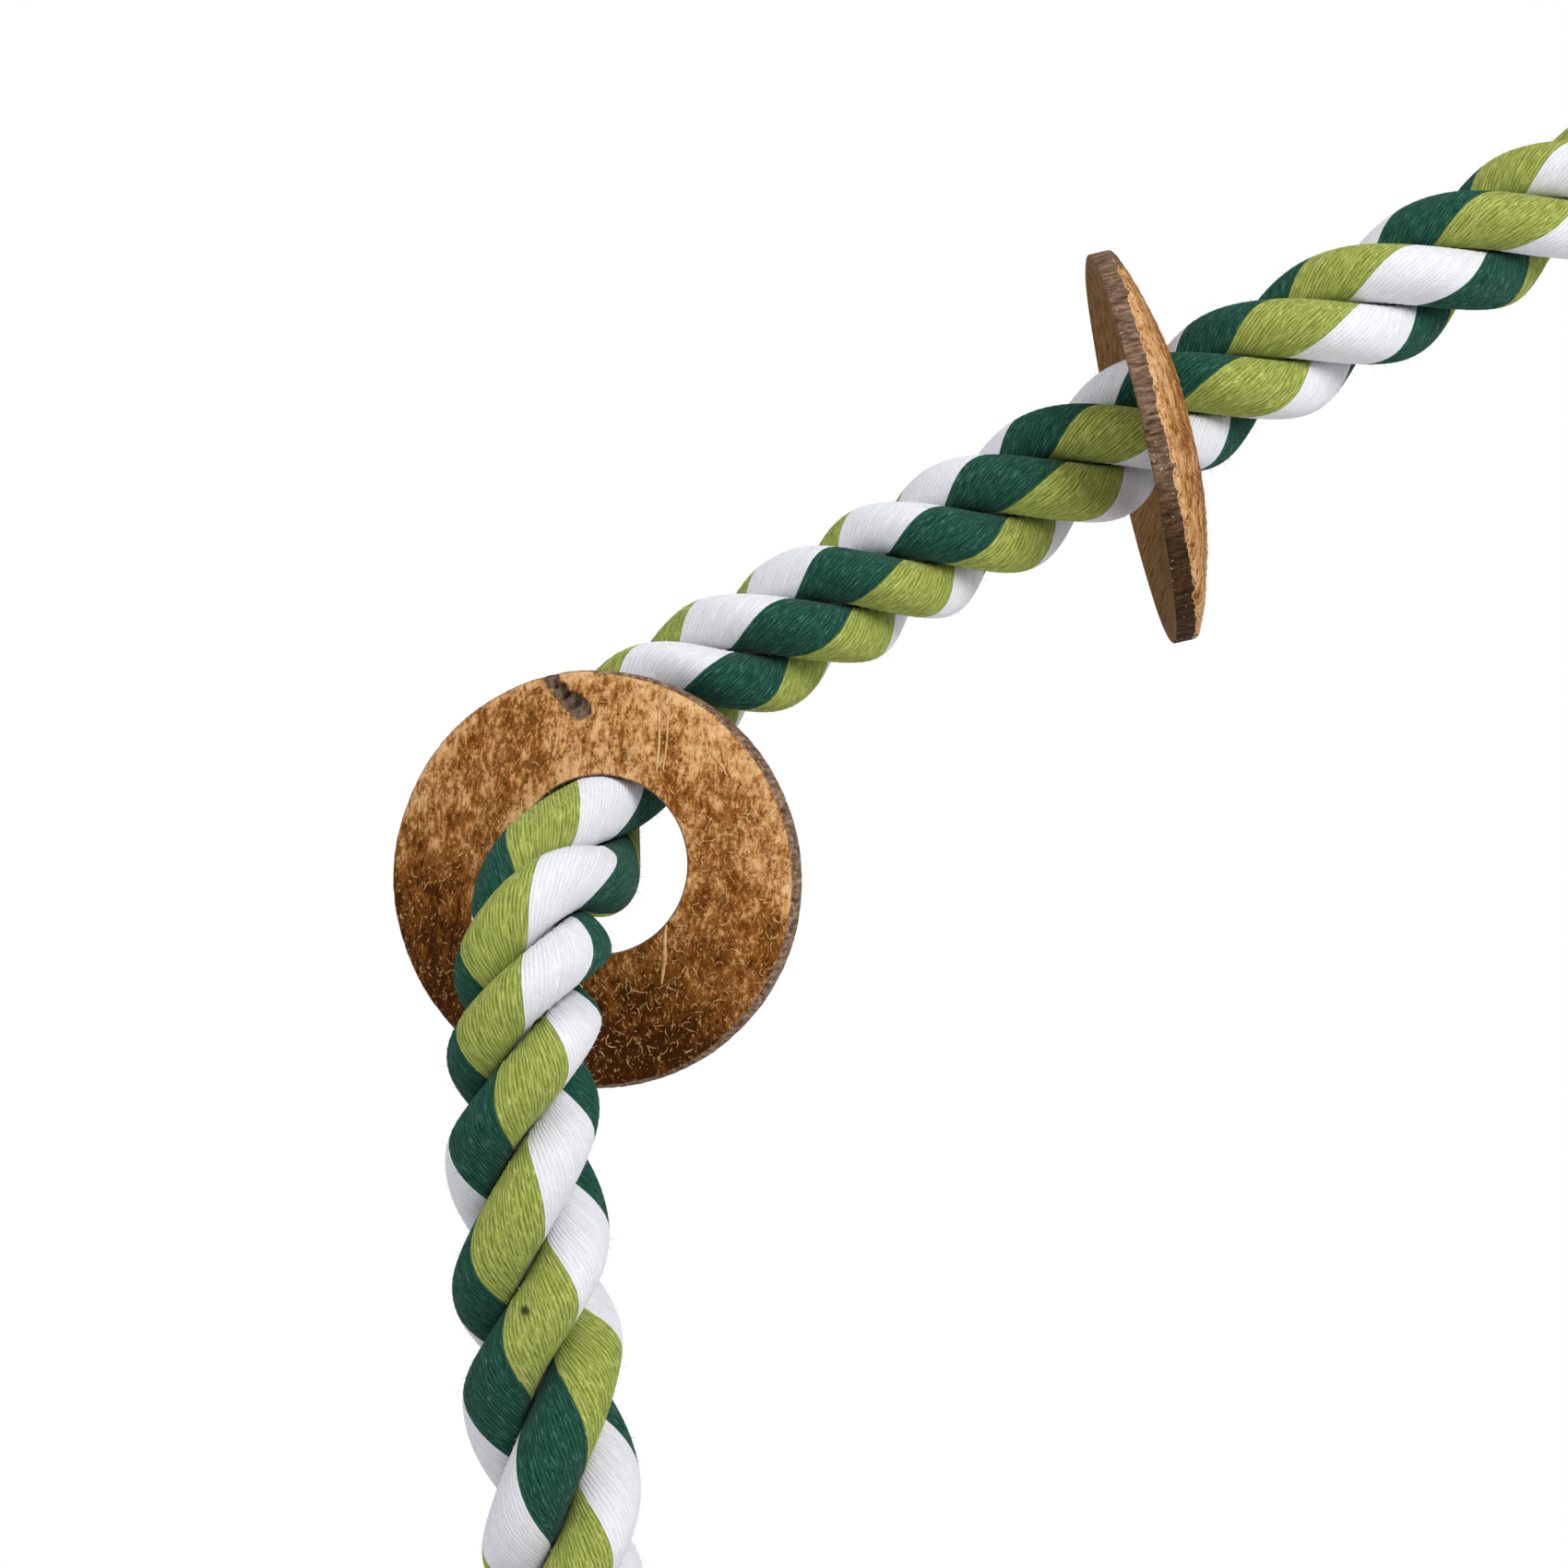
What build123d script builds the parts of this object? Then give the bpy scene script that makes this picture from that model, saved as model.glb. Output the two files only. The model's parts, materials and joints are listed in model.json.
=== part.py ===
from build123d import *
import os
from math import pi, radians, sqrt, tan

# Rope bird perch: a laid cotton rope over a bendable wire core, threaded with two coconut-shell discs and
# ended by two screw fixings. Millimetres, +Z up, +Y away from the front. The origin lies on the axis of the
# upper stud, in the middle of its lead-in.

# Rope and its core
rope_d = 20.0
core_sheath_d = 4.0
core_wire_d = 2.5
core_play = 0.05
bend_share = 0.45  # part of the shorter run that a bend takes up

# The rope's corners after its upper end, chosen by hand, and its lower end
rope_corners = [
    (-195.5, -37.0, -109.5),
    (-200.1, -47.0, -127.9),
    (-209.3, -87.2, -140.0),
    (-210.5, -78.7, -187.9),
]
rope_low_end = (-199.9, -78.7, -256.7)

# Coconut-shell discs
disc_d = 60.0
shell_thickness = 3.5
shell_sphere_r = 78.0
hole_play = 5.2
disc_edge_round = 0.6
left_hole_offset = (2.3, 2.2)  # the hole is drilled this far right of and above the middle of its disc
right_hole_offset = (0.0, 1.3)
left_disc_place = (-200.4, -58.2, -131.2)
left_disc_face = (-0.22, -0.975, 0.0)
right_disc_down_rope = 135.1  # distance from the origin along the upper run
right_disc_hang = 1.7
right_disc_face = (0.975, -0.014, 0.22)

# End cap, a moulded cup
socket_depth = 22.0
socket_play = 0.3
skirt_wall = 2.3
cap_floor = 7.0
flange_lip = 1.9
flange_height = 3.0
lip_round = 0.8
skirt_slit_width = 1.4
skirt_slits = 4
gusset_thickness = 2.0
gusset_length = 9.0
gussets = 6

# Crimp ring, in a groove round the skirt
ring_width = 8.0
ring_thickness = 1.0
ring_sink = 0.6
ring_from_mouth = 5.0
ring_play = 0.05
ear_width = 6.0
ear_height = 2.4
ear_round = 0.7

# M6 hardware
stud_d = 6.0
stud_length = 34.0
stud_lead_d = 5.6  # the first turns are rolled under size, so that the nut starts by hand
stud_lead_length = 12.0
stud_point = 1.0
head_across_flats = 10.0
head_height = 4.0
head_play = 0.15
floor_hole_play = 0.2
washer_d = 25.0
washer_hole_d = 6.4
washer_thickness = 1.5
washer_chamfer = 0.3
nut_play = 0.06
nut_hub_d = 13.0
nut_top_d = 10.5
nut_height = 7.0
wing_thickness = 2.6
wing_reach = 11.5
wing_rise = 8.2
wing_tip_r = 4.2
wing_root_r = 2.6
wing_root_reach = 4.4
wing_round = 0.5

rope_r = rope_d / 2
socket_r = rope_r + socket_play
skirt_r = socket_r + skirt_wall
flange_r = skirt_r + flange_lip
groove_r = skirt_r - ring_sink
ring_in_r = groove_r + ring_play
hole_r = (rope_d + hole_play) / 2
stud_r = stud_d / 2
stud_tip = head_height + stud_length

# The rope's upper end stands as far from the origin as the head, the shank and half the lead-in reach.
upper_axis = -Vector(*rope_corners[0]).normalized()
rope_top_end = upper_axis * -(stud_tip - stud_point - stud_lead_length / 2)
route = [rope_top_end] + [Vector(*corner) for corner in rope_corners] + [Vector(*rope_low_end)]
lower_axis = (route[-1] - route[-2]).normalized()


def bend_radii(points):
    """The radius of each bend: its share of the shorter run, divided by the tangent of half the turn."""
    radii = []
    for before, corner, after in zip(points, points[1:], points[2:]):
        run_in = corner - before
        run_out = after - corner
        turn = radians(run_in.get_angle(run_out))
        radii.append(bend_share * min(run_in.length, run_out.length) / tan(turn / 2))
    return radii


route_radii = bend_radii(route)
route_wire = FilletPolyline(*route, radius=route_radii)
route_start = Plane(origin=route[0], z_dir=route[1] - route[0])


def along_route(outer_d, bore_d=0.0):
    """A round bar or tube that follows the rope's route from end to end."""
    section = Circle(outer_d / 2)
    if bore_d:
        section -= Circle(bore_d / 2)
    return sweep(route_start * section, path=route_wire)


def shell_disc(hole_x, hole_y):
    """A disc cut from a coconut shell, convex side up, its hole round the Z axis."""
    disc_r = disc_d / 2
    inner_r = shell_sphere_r - shell_thickness
    apex = shell_sphere_r - (sqrt(shell_sphere_r**2 - hole_r**2) + sqrt(inner_r**2 - hole_r**2)) / 2

    def height(sphere_r, reach):
        return sqrt(sphere_r**2 - reach**2) - shell_sphere_r + apex

    outer_top = (0, height(shell_sphere_r, 0))
    outer_rim = (disc_r, height(shell_sphere_r, disc_r))
    inner_rim = (disc_r, height(inner_r, disc_r))
    inner_top = (0, height(inner_r, 0))
    profile = RadiusArc(outer_top, outer_rim, shell_sphere_r)
    profile += Line(outer_rim, inner_rim)
    profile += RadiusArc(inner_rim, inner_top, -inner_r)
    profile += Line(inner_top, outer_top)
    disc = Pos(-hole_x, -hole_y, 0) * revolve(Plane.XZ * make_face(profile), Axis.Z)
    disc -= Cylinder(hole_r, 2 * shell_sphere_r)
    return fillet(disc.edges().filter_by(GeomType.LINE, reverse=True), disc_edge_round)


def facing(place, face):
    """A plane at a disc's hole: its Z is along the disc's face, and its Y is as near to upright as can be."""
    axis = Vector(*face)
    return Plane(origin=place, x_dir=Vector(0, 0, 1).cross(axis), z_dir=axis)


def end_cap():
    """The cup at the rope's end: its socket floor is at zero, and its flange bears on the cage."""
    mouth = -socket_depth
    groove_start = mouth + ring_from_mouth
    groove_end = groove_start + ring_width + 2 * ring_play
    outline = Polyline(
        (socket_r, mouth),
        (skirt_r, mouth),
        (skirt_r, groove_start),
        (groove_r, groove_start),
        (groove_r, groove_end),
        (skirt_r, groove_end),
        (skirt_r, cap_floor - flange_height),
        (flange_r, cap_floor - flange_height),
        (flange_r, cap_floor),
        (0, cap_floor),
        (0, 0),
        (socket_r, 0),
        close=True,
    )
    cap = revolve(Plane.XZ * make_face(outline), Axis.Z)
    rims = cap.edges().filter_by(GeomType.CIRCLE)
    cap = fillet(rims.group_by(SortBy.RADIUS)[-1] + rims.group_by(Axis.Z)[0], lip_round)
    gusset = Polyline(
        (skirt_r - ring_sink, cap_floor - flange_height - gusset_length),
        (flange_r - lip_round, cap_floor - flange_height),
        (skirt_r - ring_sink, cap_floor - flange_height),
        close=True,
    )
    web = extrude(Plane.XZ * make_face(gusset), amount=gusset_thickness / 2, both=True)
    cap += PolarLocations(0, gussets) * web
    slit_end = groove_end + ring_play
    slit = Pos((socket_r + skirt_r) / 2, 0, (mouth + slit_end) / 2) * Box(
        2 * skirt_wall, skirt_slit_width, slit_end - mouth
    )
    cap -= PolarLocations(0, skirt_slits, start_angle=180 / gussets) * slit
    pocket = RegularPolygon(head_across_flats / 2 + head_play, 6, major_radius=False)
    cap -= extrude(pocket, amount=head_height)
    return cap - Cylinder(stud_r + floor_hole_play, cap_floor, align=(Align.CENTER, Align.CENTER, Align.MIN))


def clamp_ring():
    """A one-ear crimp ring, closed on the cap's skirt."""
    ring_out_r = ring_in_r + ring_thickness
    band = Cylinder(ring_out_r, ring_width) - Cylinder(ring_in_r, ring_width)
    ear = Pos(ring_in_r + ring_thickness / 2 + ear_height / 2, 0, 0) * Box(
        ring_thickness + ear_height, ear_width, ring_width
    )
    ear = fillet(ear.edges().filter_by(Axis.Z).group_by(Axis.X)[-1], ear_round)
    ear -= Cylinder(ring_in_r + ring_thickness / 2, ring_width)
    middle = -socket_depth + ring_from_mouth + ring_play + ring_width / 2
    return Pos(0, 0, middle) * (band + ear)


def stud():
    """The hex bolt: its head lies in the cap's floor and its shank leaves through the flange."""
    lead_start = stud_tip - stud_point - stud_lead_length
    head = extrude(RegularPolygon(head_across_flats / 2, 6, major_radius=False), amount=head_height)
    outline = Polyline(
        (0, head_height),
        (stud_r, head_height),
        (stud_r, lead_start),
        (stud_lead_d / 2, lead_start),
        (stud_lead_d / 2, stud_tip - stud_point),
        (stud_lead_d / 2 - stud_point, stud_tip),
        (0, stud_tip),
        close=True,
    )
    return head + revolve(Plane.XZ * make_face(outline), Axis.Z)


def washer(seat):
    """A large washer that lies on the given height of the stud."""
    ring = Cylinder(washer_d / 2, washer_thickness) - Cylinder(washer_hole_d / 2, washer_thickness)
    rim = ring.edges().filter_by(GeomType.CIRCLE).group_by(SortBy.RADIUS)[-1]
    return Pos(0, 0, seat + washer_thickness / 2) * chamfer(rim, washer_chamfer)


def wing_nut(seat):
    """A wing nut: a tapered hub with two rounded ears."""
    hub = Cone(nut_hub_d / 2, nut_top_d / 2, nut_height, align=(Align.CENTER, Align.CENTER, Align.MIN))
    root = Pos(wing_root_reach, wing_root_r + washer_chamfer) * Circle(wing_root_r)
    tip = Pos(wing_reach, wing_rise) * Circle(wing_tip_r)
    ear = extrude(Plane.XZ * make_hull(root.edges() + tip.edges()), amount=wing_thickness / 2, both=True)
    ear = fillet(ear.faces().sort_by(Axis.Y)[0].edges() + ear.faces().sort_by(Axis.Y)[-1].edges(), wing_round)
    nut = hub + PolarLocations(0, 2) * ear
    nut -= Cylinder(stud_r + nut_play, 2 * (wing_rise + wing_tip_r))
    return Pos(0, 0, seat) * nut


def fixing(end, axis):
    """The pieces of one screw fixing, in the order in which they go on the rope's end."""
    place = Plane(origin=end, z_dir=axis).location
    bars_side = cap_floor + washer_thickness
    return {
        "end_cap": place * end_cap(),
        "clamp_ring": place * clamp_ring(),
        "stud": place * stud(),
        "inner_washer": place * washer(cap_floor),
        "outer_washer": place * washer(bars_side),
        "wing_nut": place * wing_nut(bars_side + washer_thickness),
    }


rope_bore_d = core_sheath_d + 2 * core_play
sheath_bore_d = core_wire_d + 2 * core_play
right_disc_place = upper_axis * -right_disc_down_rope - Vector(0, 0, right_disc_hang)

pieces = {
    "rope": along_route(rope_d, rope_bore_d),
    "core_sheath": along_route(core_sheath_d, sheath_bore_d),
    "core_wire": along_route(core_wire_d),
    "disc_left": facing(left_disc_place, left_disc_face) * shell_disc(*left_hole_offset),
    "disc_right": facing(right_disc_place, right_disc_face) * shell_disc(*right_hole_offset),
}
for name, piece in fixing(route[0], upper_axis).items():
    pieces["upper_" + name] = piece
for name, piece in fixing(route[-1], lower_axis).items():
    pieces["lower_" + name] = piece

os.makedirs("parts", exist_ok=True)
for name, piece in pieces.items():
    piece.label = name
    export_step(piece, f"parts/{name}.step")

print("bend radii", [round(radius, 1) for radius in route_radii])
print("rope length", round(route_wire.length, 1))
section_area = pi * (rope_d**2 - rope_bore_d**2) / 4
print("rope volume", round(pieces["rope"].volume))
print("section times length", round(section_area * route_wire.length))
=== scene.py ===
import json
import math

import bpy
import numpy as np
from mathutils import Matrix, Vector, noise


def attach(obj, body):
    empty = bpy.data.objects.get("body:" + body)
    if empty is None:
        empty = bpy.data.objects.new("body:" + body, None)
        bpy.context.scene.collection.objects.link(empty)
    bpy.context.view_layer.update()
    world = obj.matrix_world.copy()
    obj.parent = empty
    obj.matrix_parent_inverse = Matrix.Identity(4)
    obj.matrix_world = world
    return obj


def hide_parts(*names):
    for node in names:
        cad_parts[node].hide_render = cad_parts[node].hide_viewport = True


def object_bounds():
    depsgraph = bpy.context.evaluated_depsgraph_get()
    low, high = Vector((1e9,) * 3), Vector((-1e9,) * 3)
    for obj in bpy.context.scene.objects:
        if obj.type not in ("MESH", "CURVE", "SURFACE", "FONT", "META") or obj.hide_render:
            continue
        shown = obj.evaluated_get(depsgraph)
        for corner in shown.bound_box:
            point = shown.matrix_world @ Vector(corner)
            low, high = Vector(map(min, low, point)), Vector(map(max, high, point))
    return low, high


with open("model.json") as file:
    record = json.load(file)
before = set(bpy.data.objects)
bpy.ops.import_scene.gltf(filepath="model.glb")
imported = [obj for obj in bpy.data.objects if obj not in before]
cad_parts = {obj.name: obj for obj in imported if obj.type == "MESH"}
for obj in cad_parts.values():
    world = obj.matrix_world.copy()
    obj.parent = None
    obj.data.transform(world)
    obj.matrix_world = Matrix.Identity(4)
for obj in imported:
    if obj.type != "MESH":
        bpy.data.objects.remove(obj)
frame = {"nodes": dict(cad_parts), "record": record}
cad_low, cad_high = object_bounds()

# Lengths are metres unless a name ends in _mm or _px. The row frame has +X right, +Y away and +Z up.
MM = 0.001
random = np.random.default_rng(9)

# Camera: the photograph's frame is square, and the camera looks straight along +Y.
camera_place = Vector((-174.66, -658.19, -119.80)) * MM
photo_side_px = 1700
photo_focal_px = 4591
sensor_width_mm = 36.0

# Light: a lamp's place is counted from the middle of the part.
key_place = Vector((0.55, -0.75, 0.65))
key_size = 0.6
key_power = 10.0
fill_place = Vector((-0.7, -0.55, 0.75))
fill_size = 0.9
fill_power = 4.8
ambient_strength = 0.46
floor_size = 12.0
floor_drop = 0.05

# The rope's route: the part's own points, with those at the left disc moved a little to follow
# the photograph. The run points lie on the long upper run, which bows upward by a millimetre.
upper_stud, lower_stud = frame["record"]["mounts"]
upper_axis = Vector(upper_stud["axis"])
lower_axis = Vector(lower_stud["axis"])
stud_mount_height = 31.0 * MM
rope_top_end = Vector(upper_stud["pos_m"]) - upper_axis * stud_mount_height
rope_low_end = Vector(lower_stud["pos_m"]) - lower_axis * stud_mount_height
run_bow = Vector((-0.5, 0.0, 0.87)) * MM
run_points = [
    upper_axis * -80 * MM + 1.1 * run_bow,
    upper_axis * -165 * MM + 1.2 * run_bow,
    upper_axis * -205.7 * MM + 0.4 * run_bow,
]
rope_corners = [
    Vector((-195.9, -36.6, -109.2)) * MM,
    Vector((-202.2, -48.5, -125.8)) * MM,
    Vector((-209.9, -85.6, -140.2)) * MM,
    Vector((-210.5, -79.4, -187.0)) * MM,
]
rope_route = [rope_top_end, *run_points, *rope_corners, rope_low_end]
rope_d = 20.0 * MM
socket_depth = 22.0 * MM
ring_step = 1.1 * MM
# The end caps press the rope in, and this far from its ends it is free again.
free_from_end = 1.5 * socket_depth

# Three strands. At a groove mark along the rope, a groove between two of them faces the front.
strands = 3
groove_marks_mm = [
    -1, 17, 35, 52, 70, 88, 105, 121, 137, 151, 164, 179,
    193, 207, 237, 253.5, 264, 277, 295, 310, 331, 347, 363, 380,
]
lay_smoothing = 3.5 * MM
lay_window = round(lay_smoothing / ring_step)
twist_window = 4 * lay_window
upper_rope_r = 10.4 * MM
lower_rope_r = 11.4 * MM
capped_rope_r = 9.9 * MM
thick_from = 262.0 * MM
thick_to = 310.0 * MM
# A strand's middle lies at this share of the rope's radius.
upper_offset_share = 0.48
lower_offset_share = 0.49
strand_press = 0.25 * MM
core_hole_r = 2.15 * MM
corner_softness = 9.0
# Each strand swells and thins a little along the rope.
wander_share = 0.018
wander_size = 9 * MM
wander_seed_step = 3.1

# Yarns: their widths differ, and the yarn map counts lengths along the rope in decimetres.
yarns = 60
points_per_yarn = 3
columns_each = yarns * points_per_yarn
yarn_height = 0.10 * MM
yarn_widths = (0.7, 1.3)
yarn_map_unit = 0.1
# The three yarn colours follow each other round a strand, which is twisted against the lay. For each
# strand: places along the rope where its crest faces the front, in millimetres, and the share of its
# own turn that lies on that crest.
crest_colours = [
    ([10, 61, 113, 158, 205, 259, 303, 360], [0.80, 0.52, 0.25, -0.03, -0.33, -0.62, -0.85, -1.13]),
    ([26, 79, 129, 172, 226, 270, 320, 370], [0.64, 0.32, 0.00, -0.16, -0.52, -0.88, -1.15, -1.42]),
    (
        [0, 44, 97, 144, 187, 246, 286, 339, 370],
        [0.36, 0.23, 0.07, -0.15, -0.30, -0.55, -0.73, -0.85, -0.93],
    ),
]
fuzz_hairs = 9000
fuzz_reach = 0.75 * MM
fuzz_r = 0.022 * MM

# Core inside the rope
core_sheath_r = 2.0 * MM
core_wire_r = 1.25 * MM
core_play = 0.05 * MM
core_sides = 20

# Coconut-shell discs
disc_r = 30.0 * MM
hole_r = 12.6 * MM
shell_thickness = 3.5 * MM
shell_sphere_r = 78.0 * MM
edge_round = 0.45 * MM
disc_spokes = 600
disc_rings = 76
husk_relief = 0.16 * MM
rope_clear = 0.15 * MM
# What differs between the discs. A chip is its place, its size and its depth, and a long fibre its
# start, its end and its width. The husk's edge at the rim is torn back by up to torn, bare is the
# share of the rim without husk, and the wear share is 1 on an evenly worn disc, whose sawn rim it
# also gives a darker tone and painted shade towards its bottom, and 0 on one worn in places.
left_look = {
    "place": Vector((-200.4, -58.2, -131.2)) * MM,
    "face": Vector((-0.22, -0.975, 0.0)).normalized(),
    "hole_offset": np.array([2.3, 2.2]) * MM,
    "seed": 1.7,
    "chips_mm": [
        (-8.4, 26.3, 1.5, 1.2), (-6.9, 24.7, 1.4, 1.1),
        (-5.2, 23.3, 1.7, 1.3), (-3.6, 21.9, 1.8, 0.9),
    ],
    "torn": 0.1 * MM,
    "bare": 0.35,
    "even_wear_and_rim_shade": 0.0,
    "short_fibres": 520,
    "long_fibres_mm": [
        (8.0, 24.5, 8.2, 12.6, 0.50),
        (9.3, 23.5, 9.1, 13.2, 0.40),
        (-6.4, 20.8, -7.0, 15.2, 0.45),
        (15.5, 16.0, 18.0, 12.5, 0.4),
        (9.8, -8.4, 8.9, -17.0, 0.75),
    ],
}
right_look = {
    "place": upper_axis * -135.1 * MM - Vector((0, 0, 1.7 * MM)),
    "face": Vector((0.975, -0.014, 0.22)).normalized(),
    "hole_offset": np.array([0.0, 1.3]) * MM,
    "seed": 21.3,
    "chips_mm": [(-2.0, 28.7, 4.5, 0.12), (-8.0, 27.5, 4.0, 0.12), (-12.5, 25.5, 3.0, 0.12)],
    "torn": 0.6 * MM,
    "bare": 0.0,
    "even_wear_and_rim_shade": 1.0,
    "short_fibres": 500,
    "long_fibres_mm": [],
}

# M6 studs
stud_r = 3.0 * MM
stud_lead_r = 2.8 * MM
stud_lead_start = 25.0 * MM
stud_lead_end = 37.0 * MM
stud_tip = 38.0 * MM
tip_trim = 0.05 * MM
thread_pitch = 1.0 * MM
thread_depth = 0.55 * MM
rings_per_pitch = 10
# A thread's flank begins and ends this far from the middle of its crest, in pitches.
thread_flank = (0.06, 0.44)
head_height = 4.0 * MM
head_flats = 10.0 * MM
head_chamfer = 0.4 * MM
stud_sides = 48

# Colours, linear. Each yarn colour is a plain tone, a dark tone that is painted shade in the gaps
# between two yarns and also darkens some yarns and fibres, and that of its lightest fibres.
light_green = [(0.345, 0.390, 0.084), (0.075, 0.106, 0.010), (0.640, 0.660, 0.235)]
pale_yarn = [(0.715, 0.715, 0.745), (0.580, 0.585, 0.630), (0.800, 0.800, 0.820)]
dark_green = [(0.014, 0.078, 0.051), (0.001, 0.012, 0.008), (0.085, 0.230, 0.170)]
smudge_colour = (0.030, 0.034, 0.014)
smudge_place = Vector((-209.4, -89.5, -190.4)) * MM
smudge_r = 0.9 * MM


def smooth_step(value, low, high):
    """0 below low, 1 above high, and a smooth rise between them."""
    share = np.clip((value - low) / (high - low), 0, 1)
    return share * share * (3 - 2 * share)


def noise_at(points, size, seed):
    """Smooth noise between about -1 and 1, with features of the given size, at each point."""
    places = np.asarray(points).reshape(-1, 3) / size + seed
    values = [noise.noise(place) for place in places.tolist()]
    return np.array(values).reshape(np.shape(points)[:-1])


def lengths_of(vectors):
    return np.linalg.norm(vectors, axis=-1)


def unit(vectors):
    """The vectors with a length of 1."""
    return vectors / lengths_of(vectors)[:, None]


def even_angles(count):
    """Angles that share a full turn evenly."""
    return 2 * math.pi * np.arange(count) / count


def turned_from(first, second, turn):
    """Directions turned by those angles from the first direction to the second."""
    return np.cos(turn)[..., None] * first + np.sin(turn)[..., None] * second


def facing(place, axis, upright):
    """The frame at a place with Z along the axis and Y as near to upright as can be."""
    across = upright.cross(axis).normalized()
    turned = Matrix((across, axis.cross(across), axis)).transposed().to_4x4()
    return Matrix.Translation(place) @ turned


def add_object(name, data):
    made = bpy.data.objects.new(name, data)
    bpy.context.scene.collection.objects.link(made)
    return made


def new_piece(name, points, faces, material, uvs=None, values=None):
    """A smooth-shaded mesh object. uvs has one pair for each face corner, and each of the values one
    number for each point."""
    mesh = bpy.data.meshes.new(name)
    mesh.from_pydata(np.asarray(points).tolist(), [], faces)
    mesh.polygons.foreach_set("use_smooth", [True] * len(mesh.polygons))
    if uvs is not None:
        layer = mesh.uv_layers.new(name="yarn")
        layer.data.foreach_set("uv", np.asarray(uvs, np.float32).ravel())
    for label, numbers in (values or {}).items():
        layer = mesh.attributes.new(label, "FLOAT", "POINT")
        layer.data.foreach_set("value", np.asarray(numbers, np.float32).ravel())
    mesh.materials.append(material)
    return add_object(name, mesh)


def grid_faces(rows, columns, close_rows=False):
    """Four-sided faces between rows of points whose columns close on themselves."""
    row = np.arange(rows if close_rows else rows - 1)[:, None]
    column = np.arange(columns)[None, :]
    next_row = (row + 1) % rows
    next_column = (column + 1) % columns
    corners = [
        row * columns + column,
        row * columns + next_column,
        next_row * columns + next_column,
        next_row * columns + column,
    ]
    return np.stack(corners, -1).reshape(-1, 4)


def tube_faces(rows, sides):
    """The faces of a closed tube: its wall between rows of points, and its two ends."""
    first_end = list(range(sides))
    last_end = list(range((rows - 1) * sides, rows * sides))
    return grid_faces(rows, sides).tolist() + [first_end[::-1], last_end]


# Nodes. The node tree of a node or of an output is its id_data.


def new_material(name):
    """A material with its node tree and its shader."""
    material = bpy.data.materials.new(name)
    material.use_nodes = True
    return material, material.node_tree, material.node_tree.nodes["Principled BSDF"]


def set_inputs(node, inputs):
    """Sets a node's inputs. Each is a value, or another node's output, which is linked."""
    for key, value in inputs.items():
        if isinstance(value, bpy.types.NodeSocket):
            node.id_data.links.new(value, node.inputs[key])
        else:
            node.inputs[key].default_value = value


def add_node(tree, kind, inputs=None, **settings):
    """A node with its settings and its inputs."""
    made = tree.nodes.new(kind)
    for key, value in settings.items():
        setattr(made, key, value)
    set_inputs(made, inputs or {})
    return made


def object_place(tree):
    return add_node(tree, "ShaderNodeTexCoord").outputs["Object"]


def attribute(tree, name):
    """The mesh's own numbers of that name."""
    return add_node(tree, "ShaderNodeAttribute", attribute_name=name).outputs["Fac"]


def math_node(operation, first, second=0.0, third=0.0):
    inputs = {0: first, 1: second, 2: third}
    return add_node(first.id_data, "ShaderNodeMath", inputs, operation=operation).outputs[0]


def times(first, second):
    return math_node("MULTIPLY", first, second)


def times_plus(value, factor, added):
    return math_node("MULTIPLY_ADD", value, factor, added)


def noise_node(vector, scale, detail, roughness=0.55):
    inputs = {"Vector": vector, "Scale": scale, "Detail": detail, "Roughness": roughness}
    return add_node(vector.id_data, "ShaderNodeTexNoise", inputs).outputs["Fac"]


def stretched(vector, scale):
    return add_node(vector.id_data, "ShaderNodeMapping", {0: vector, "Scale": scale}).outputs[0]


def stretched_noise(vector, scale, detail, roughness=0.55):
    """Noise with a scale of its own along each axis."""
    return noise_node(stretched(vector, scale), 1.0, detail, roughness)


def slanted(vector, angle):
    """Places turned about Z."""
    inputs = {0: vector, "Rotation": (0, 0, angle)}
    return add_node(vector.id_data, "ShaderNodeMapping", inputs).outputs[0]


def between(value, low, high):
    """0 below low and 1 above high."""
    inputs = {"Value": value, "From Min": low, "From Max": high}
    made = add_node(value.id_data, "ShaderNodeMapRange", inputs, interpolation_type="SMOOTHSTEP")
    return made.outputs[0]


def mix_colour(factor, first, second, blend="MIX"):
    """Two colours mixed. Each is three numbers or a node's output."""
    made = add_node(factor.id_data, "ShaderNodeMix", {0: factor}, data_type="RGBA", blend_type=blend)
    # The node's places for colours are inputs 6 and 7 and output 2.
    for index, colour in ((6, first), (7, second)):
        set_inputs(made, {index: (*colour, 1) if isinstance(colour, tuple) else colour})
    return made.outputs[2]


def colour_ramp(factor, stops, interpolation="LINEAR"):
    """stops are pairs of a place from 0 to 1 and a colour."""
    made = add_node(factor.id_data, "ShaderNodeValToRGB", {"Fac": factor})
    ramp = made.color_ramp
    ramp.interpolation = interpolation
    while len(ramp.elements) < len(stops):
        ramp.elements.new(1.0)
    for element, (place, colour) in zip(ramp.elements, stops):
        element.position = place
        element.color = (*colour, 1)
    return made.outputs[0]


def add_bump(shader, height, strength, distance):
    inputs = {"Height": height, "Strength": strength, "Distance": distance}
    bump = add_node(height.id_data, "ShaderNodeBump", inputs)
    set_inputs(shader, {"Normal": bump.outputs[0]})


# Materials


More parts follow.
